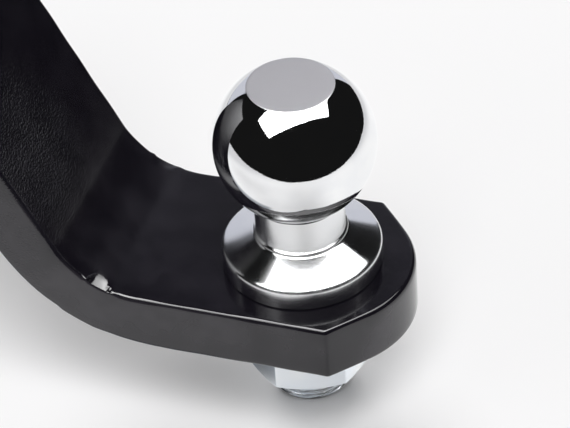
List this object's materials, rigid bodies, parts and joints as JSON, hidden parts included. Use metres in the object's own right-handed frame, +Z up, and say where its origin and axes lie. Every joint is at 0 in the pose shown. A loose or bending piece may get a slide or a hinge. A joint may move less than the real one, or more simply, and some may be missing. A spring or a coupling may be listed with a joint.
{
  "type": "drop ball mount",
  "caption": "Trailer hitch drop ball mount: a square shank tube welded to a bent flat bar whose level nose carries a flat-topped tow ball, clamped by a washer and a nut.",
  "frame": {"origin": "centre of the hitch pin's hole, in the middle of the shank tube", "axes": "+X along the shank towards the ball's end, +Y along the hitch pin's hole, +Z up along the ball's stud"},
  "size_m": [0.3363, 0.0636, 0.167],
  "materials": {
    "powder_coat": "gloss powder coat over a grained steel bar",
    "chrome": "mirror plated over fine turning marks",
    "zinc": "bright zinc plated"
  },
  "bodies": {
    "root": {"tongue_bar": "powder_coat", "shank_tube": "powder_coat", "weld_bead": "powder_coat", "tow_ball": "chrome", "lock_washer": "zinc", "hex_nut": "zinc"}
  },
  "joints": []
}
